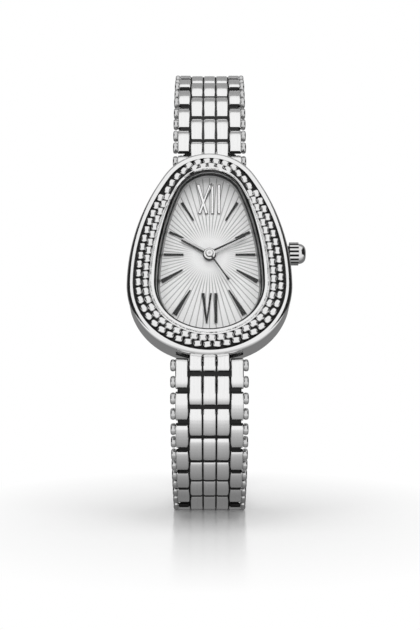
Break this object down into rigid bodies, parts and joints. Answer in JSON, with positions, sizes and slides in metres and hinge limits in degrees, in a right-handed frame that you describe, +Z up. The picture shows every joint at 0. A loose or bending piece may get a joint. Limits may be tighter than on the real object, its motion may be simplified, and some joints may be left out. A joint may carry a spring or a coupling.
{
  "type": "wristwatch",
  "caption": "Drop-shaped ladies' quartz watch on a wide bar bracelet, with turning hands, a crown, bending rows and a folding clasp.",
  "frame": {"origin": "on the ground under the centre bar of the second bracelet row that lies flat", "axes": "+X to the right seen from the dial side, +Y back from the dial, +Z up"},
  "size_m": [0.0263, 0.0477, 0.0706],
  "materials": {
    "bar_steel": "brushed",
    "battery_steel": "plain",
    "board": "matt",
    "case_steel": "polished",
    "coil_winding": "enamelled",
    "crystal": "clear",
    "dial_silver": "sunray",
    "flange": "satin",
    "hand_metal": "polished",
    "holder_plastic": "matt",
    "inner_steel": "plain",
    "marker_metal": "polished",
    "plate_brass": "plain",
    "rotor_metal": "plain",
    "stator_steel": "plain",
    "stud_steel": "polished",
    "wheel_brass": "plain"
  },
  "bodies": {
    "watch_case": {"case_body": "case_steel", "bezel": "case_steel", "bezel_studs": "stud_steel", "crystal": "crystal", "dial": "dial_silver", "hour_markers": "marker_metal", "dial_ring": "flange", "movement_holder": "holder_plastic", "main_plate": "plate_brass", "train_bridge": "plate_brass", "circuit_board": "board", "battery": "battery_steel", "coil": "coil_winding", "stator": "stator_steel", "case_back": "case_steel", "crown_tube": "inner_steel", "end_link_lower": "bar_steel", "end_link_upper": "bar_steel"},
    "lower_row_01_body": {"lower_row_01": "bar_steel"},
    "lower_row_02_body": {"lower_row_02": "bar_steel"},
    "lower_row_03_body": {"lower_row_03": "bar_steel"},
    "lower_row_04_body": {"lower_row_04": "bar_steel"},
    "lower_row_05_body": {"lower_row_05": "bar_steel"},
    "lower_row_06_body": {"lower_row_06": "bar_steel"},
    "lower_row_07_body": {"lower_row_07": "bar_steel"},
    "lower_row_08_body": {"lower_row_08": "bar_steel"},
    "lower_row_09_body": {"lower_row_09": "bar_steel"},
    "lower_row_10_body": {"lower_row_10": "bar_steel"},
    "lower_row_11_body": {"lower_row_11": "bar_steel"},
    "lower_row_12_body": {"lower_row_12": "bar_steel"},
    "lower_row_13_body": {"lower_row_13": "bar_steel"},
    "lower_row_14_body": {"lower_row_14": "bar_steel"},
    "clasp_cover": {"clasp_cover": "bar_steel"},
    "upper_row_01_body": {"upper_row_01": "bar_steel"},
    "upper_row_02_body": {"upper_row_02": "bar_steel"},
    "upper_row_03_body": {"upper_row_03": "bar_steel"},
    "upper_row_04_body": {"upper_row_04": "bar_steel"},
    "upper_row_05_body": {"upper_row_05": "bar_steel"},
    "upper_row_06_body": {"upper_row_06": "bar_steel"},
    "upper_row_07_body": {"upper_row_07": "bar_steel"},
    "upper_row_08_body": {"upper_row_08": "bar_steel"},
    "upper_row_09_body": {"upper_row_09": "bar_steel"},
    "upper_row_10_body": {"upper_row_10": "bar_steel"},
    "clasp_end_leaf": {"clasp_end_leaf": "bar_steel"},
    "clasp_middle_leaf": {"clasp_middle_leaf": "bar_steel"},
    "clasp_button_left": {"clasp_button_left": "bar_steel"},
    "clasp_button_right": {"clasp_button_right": "bar_steel"},
    "crown_lever": {"setting_lever": "inner_steel"},
    "crown_and_stem": {"crown": "case_steel", "crown_stem": "inner_steel"},
    "second_arbor": {"fourth_wheel": "wheel_brass", "second_hand": "hand_metal"},
    "rotor_arbor": {"rotor": "rotor_metal"},
    "intermediate_arbor": {"intermediate_wheel": "wheel_brass"},
    "third_arbor": {"third_wheel": "wheel_brass"},
    "minute_arbor": {"centre_wheel": "wheel_brass", "minute_hand": "hand_metal"},
    "motion_arbor": {"minute_wheel": "wheel_brass"},
    "hour_arbor": {"hour_wheel": "wheel_brass", "hour_hand": "hand_metal"}
  },
  "joints": [
    {"name": "lower_row_01_bend", "type": "hinge", "parent": "watch_case", "child": "lower_row_01_body", "pos_m": [0, -0.02249, 0.02321], "axis": [-1, 0, 0], "range_deg": [0, 13.02]},
    {"name": "lower_row_02_bend", "type": "hinge", "parent": "lower_row_01_body", "child": "lower_row_02_body", "pos_m": [0, -0.02282, 0.01852], "axis": [-1, 0, 0], "range_deg": [0, 19.02]},
    {"name": "lower_row_03_bend", "type": "hinge", "parent": "lower_row_02_body", "child": "lower_row_03_body", "pos_m": [0, -0.02145, 0.01402], "axis": [-1, 0, 0], "range_deg": [0, 14.02]},
    {"name": "lower_row_04_bend", "type": "hinge", "parent": "lower_row_03_body", "child": "lower_row_04_body", "pos_m": [0, -0.01889, 0.01008], "axis": [-1, 0, 0], "range_deg": [0, 8.02]},
    {"name": "lower_row_05_bend", "type": "hinge", "parent": "lower_row_04_body", "child": "lower_row_05_body", "pos_m": [0, -0.01568, 0.00665], "axis": [-1, 0, 0], "range_deg": [0, 6.02]},
    {"name": "lower_row_06_bend", "type": "hinge", "parent": "lower_row_05_body", "child": "lower_row_06_body", "pos_m": [0, -0.01203, 0.00369], "axis": [-1, 0, 0], "range_deg": [0, 2.02]},
    {"name": "bracelet_open", "type": "hinge", "parent": "lower_row_06_body", "child": "lower_row_07_body", "pos_m": [0, -0.00822, 0.00093], "axis": [-1, 0, 0], "range_deg": [0, 34]},
    {"name": "lower_row_08_bend", "type": "hinge", "parent": "lower_row_07_body", "child": "lower_row_08_body", "pos_m": [0, -0.00352, 0.00093], "axis": [-1, 0, 0], "range_deg": [0, 2.02]},
    {"name": "lower_row_09_bend", "type": "hinge", "parent": "lower_row_08_body", "child": "lower_row_09_body", "pos_m": [0, 0.00118, 0.00093], "axis": [-1, 0, 0], "range_deg": [0, 2.02]},
    {"name": "lower_row_10_bend", "type": "hinge", "parent": "lower_row_09_body", "child": "lower_row_10_body", "pos_m": [0, 0.00588, 0.00093], "axis": [-1, 0, 0], "range_deg": [0, 2.02]},
    {"name": "lower_row_11_bend", "type": "hinge", "parent": "lower_row_10_body", "child": "lower_row_11_body", "pos_m": [0, 0.01057, 0.00093], "axis": [-1, 0, 0], "range_deg": [0, 21.02]},
    {"name": "lower_row_12_bend", "type": "hinge", "parent": "lower_row_11_body", "child": "lower_row_12_body", "pos_m": [0, 0.01483, 0.00291], "axis": [-1, 0, 0], "range_deg": [0, 16.02]},
    {"name": "lower_row_13_bend", "type": "hinge", "parent": "lower_row_12_body", "child": "lower_row_13_body", "pos_m": [0, 0.01816, 0.00623], "axis": [-1, 0, 0], "range_deg": [0, 13.02]},
    {"name": "lower_row_14_bend", "type": "hinge", "parent": "lower_row_13_body", "child": "lower_row_14_body", "pos_m": [0, 0.02036, 0.01038], "axis": [-1, 0, 0], "range_deg": [0, 11.02]},
    {"name": "clasp_cover_bend", "type": "hinge", "parent": "lower_row_14_body", "child": "clasp_cover", "pos_m": [0, 0.02142, 0.01496], "axis": [-1, 0, 0], "range_deg": [0, 8.23]},
    {"name": "upper_row_01_bend", "type": "hinge", "parent": "watch_case", "child": "upper_row_01_body", "pos_m": [0, -0.01123, 0.05592], "axis": [1, 0, 0], "range_deg": [0, 10.02]},
    {"name": "upper_row_02_bend", "type": "hinge", "parent": "upper_row_01_body", "child": "upper_row_02_body", "pos_m": [0, -0.00881, 0.05995], "axis": [1, 0, 0], "range_deg": [0, 1.52]},
    {"name": "upper_row_03_bend", "type": "hinge", "parent": "upper_row_02_body", "child": "upper_row_03_body", "pos_m": [0, -0.00614, 0.06382], "axis": [1, 0, 0], "range_deg": [0, 11.52]},
    {"name": "upper_row_04_bend", "type": "hinge", "parent": "upper_row_03_body", "child": "upper_row_04_body", "pos_m": [0, -0.00265, 0.06697], "axis": [1, 0, 0], "range_deg": [0, 14.02]},
    {"name": "upper_row_05_bend", "type": "hinge", "parent": "upper_row_04_body", "child": "upper_row_05_body", "pos_m": [0, 0.00157, 0.06903], "axis": [1, 0, 0], "range_deg": [0, 16.02]},
    {"name": "upper_row_06_bend", "type": "hinge", "parent": "upper_row_05_body", "child": "upper_row_06_body", "pos_m": [0, 0.00623, 0.06968], "axis": [1, 0, 0], "range_deg": [0, 16.02]},
    {"name": "upper_row_07_bend", "type": "hinge", "parent": "upper_row_06_body", "child": "upper_row_07_body", "pos_m": [0, 0.01086, 0.06887], "axis": [1, 0, 0], "range_deg": [0, 18.02]},
    {"name": "upper_row_08_bend", "type": "hinge", "parent": "upper_row_07_body", "child": "upper_row_08_body", "pos_m": [0, 0.01493, 0.06652], "axis": [1, 0, 0], "range_deg": [0, 18.02]},
    {"name": "upper_row_09_bend", "type": "hinge", "parent": "upper_row_08_body", "child": "upper_row_09_body", "pos_m": [0, 0.01795, 0.06292], "axis": [1, 0, 0], "range_deg": [0, 15.02]},
    {"name": "upper_row_10_bend", "type": "hinge", "parent": "upper_row_09_body", "child": "upper_row_10_body", "pos_m": [0, 0.01978, 0.05859], "axis": [1, 0, 0], "range_deg": [0, 11.02]},
    {"name": "clasp_end_leaf_bend", "type": "hinge", "parent": "upper_row_10_body", "child": "clasp_end_leaf", "pos_m": [0, 0.0206, 0.05396], "axis": [1, 0, 0], "range_deg": [0, 6.81]},
    {"name": "middle_leaf_open", "type": "hinge", "parent": "clasp_cover", "child": "clasp_middle_leaf", "pos_m": [0, 0.02135, 0.05138], "axis": [-1, 0, 0], "range_deg": [0, 140.02]},
    {"name": "left_button_press", "type": "slide", "parent": "clasp_cover", "child": "clasp_button_left", "axis": [1, 0, 0], "range_m": [0, 0.0005], "stiffness_N_per_m": 300, "springref_m": -0.0002},
    {"name": "right_button_press", "type": "slide", "parent": "clasp_cover", "child": "clasp_button_right", "axis": [-1, 0, 0], "range_m": [0, 0.0005], "stiffness_N_per_m": 300, "springref_m": -0.0002},
    {"name": "crown_pull", "type": "slide", "parent": "watch_case", "child": "crown_lever", "axis": [1, 0, 0], "range_m": [0, 0.0009]},
    {"name": "crown_turn", "type": "hinge", "parent": "crown_lever", "child": "crown_and_stem", "pos_m": [0, -0.01551, 0.03949], "axis": [1, 0, 0], "continuous": true},
    {"name": "second_hand_turn", "type": "hinge", "parent": "watch_case", "child": "second_arbor", "pos_m": [0, -0.01645, 0.0389], "axis": [0, -0.9455, 0.3256], "continuous": true},
    {"name": "rotor_turn", "type": "hinge", "parent": "watch_case", "child": "rotor_arbor", "pos_m": [-0.00318, -0.01519, 0.04258], "axis": [0, -0.9455, 0.3256], "continuous": true},
    {"name": "intermediate_wheel_turn", "type": "hinge", "parent": "watch_case", "child": "intermediate_arbor", "pos_m": [-0.00101, -0.01556, 0.04151], "axis": [0, -0.9455, 0.3256], "continuous": true},
    {"name": "third_wheel_turn", "type": "hinge", "parent": "watch_case", "child": "third_arbor", "pos_m": [-0.00282, -0.01679, 0.03793], "axis": [0, -0.9455, 0.3256], "continuous": true},
    {"name": "minute_hand_turn", "type": "hinge", "parent": "watch_case", "child": "minute_arbor", "pos_m": [0, -0.01645, 0.0389], "axis": [0, -0.9455, 0.3256], "continuous": true},
    {"name": "minute_wheel_turn", "type": "hinge", "parent": "watch_case", "child": "motion_arbor", "pos_m": [0.0012, -0.01578, 0.04086], "axis": [0, -0.9455, 0.3256], "continuous": true},
    {"name": "hour_hand_turn", "type": "hinge", "parent": "watch_case", "child": "hour_arbor", "pos_m": [0, -0.01645, 0.0389], "axis": [0, -0.9455, 0.3256], "continuous": true}
  ],
  "couplings": [
    {"joint": "lower_row_01_bend", "follows": "bracelet_open", "ratio": 0.38235},
    {"joint": "lower_row_02_bend", "follows": "bracelet_open", "ratio": 0.55882},
    {"joint": "lower_row_03_bend", "follows": "bracelet_open", "ratio": 0.41176},
    {"joint": "lower_row_04_bend", "follows": "bracelet_open", "ratio": 0.23529},
    {"joint": "lower_row_05_bend", "follows": "bracelet_open", "ratio": 0.17647},
    {"joint": "lower_row_06_bend", "follows": "bracelet_open", "ratio": 0.058824},
    {"joint": "lower_row_08_bend", "follows": "bracelet_open", "ratio": 0.058824},
    {"joint": "lower_row_09_bend", "follows": "bracelet_open", "ratio": 0.058824},
    {"joint": "lower_row_10_bend", "follows": "bracelet_open", "ratio": 0.058824},
    {"joint": "lower_row_11_bend", "follows": "bracelet_open", "ratio": 0.61765},
    {"joint": "lower_row_12_bend", "follows": "bracelet_open", "ratio": 0.47059},
    {"joint": "lower_row_13_bend", "follows": "bracelet_open", "ratio": 0.38235},
    {"joint": "lower_row_14_bend", "follows": "bracelet_open", "ratio": 0.32353},
    {"joint": "clasp_cover_bend", "follows": "bracelet_open", "ratio": 0.24139},
    {"joint": "upper_row_01_bend", "follows": "bracelet_open", "ratio": 0.29412},
    {"joint": "upper_row_02_bend", "follows": "bracelet_open", "ratio": 0.044118},
    {"joint": "upper_row_03_bend", "follows": "bracelet_open", "ratio": 0.33824},
    {"joint": "upper_row_04_bend", "follows": "bracelet_open", "ratio": 0.41176},
    {"joint": "upper_row_05_bend", "follows": "bracelet_open", "ratio": 0.47059},
    {"joint": "upper_row_06_bend", "follows": "bracelet_open", "ratio": 0.47059},
    {"joint": "upper_row_07_bend", "follows": "bracelet_open", "ratio": 0.52941},
    {"joint": "upper_row_08_bend", "follows": "bracelet_open", "ratio": 0.52941},
    {"joint": "upper_row_09_bend", "follows": "bracelet_open", "ratio": 0.44118},
    {"joint": "upper_row_10_bend", "follows": "bracelet_open", "ratio": 0.32353},
    {"joint": "clasp_end_leaf_bend", "follows": "bracelet_open", "ratio": 0.19978},
    {"joint": "middle_leaf_open", "follows": "bracelet_open", "ratio": 4.1176},
    {"joint": "rotor_turn", "follows": "second_hand_turn", "ratio": 30},
    {"joint": "intermediate_wheel_turn", "follows": "second_hand_turn", "ratio": -5},
    {"joint": "third_wheel_turn", "follows": "second_hand_turn", "ratio": -0.13333},
    {"joint": "minute_hand_turn", "follows": "second_hand_turn", "ratio": 0.016667},
    {"joint": "minute_wheel_turn", "follows": "second_hand_turn", "ratio": -0.0055556},
    {"joint": "hour_hand_turn", "follows": "second_hand_turn", "ratio": 0.0013889}
  ]
}
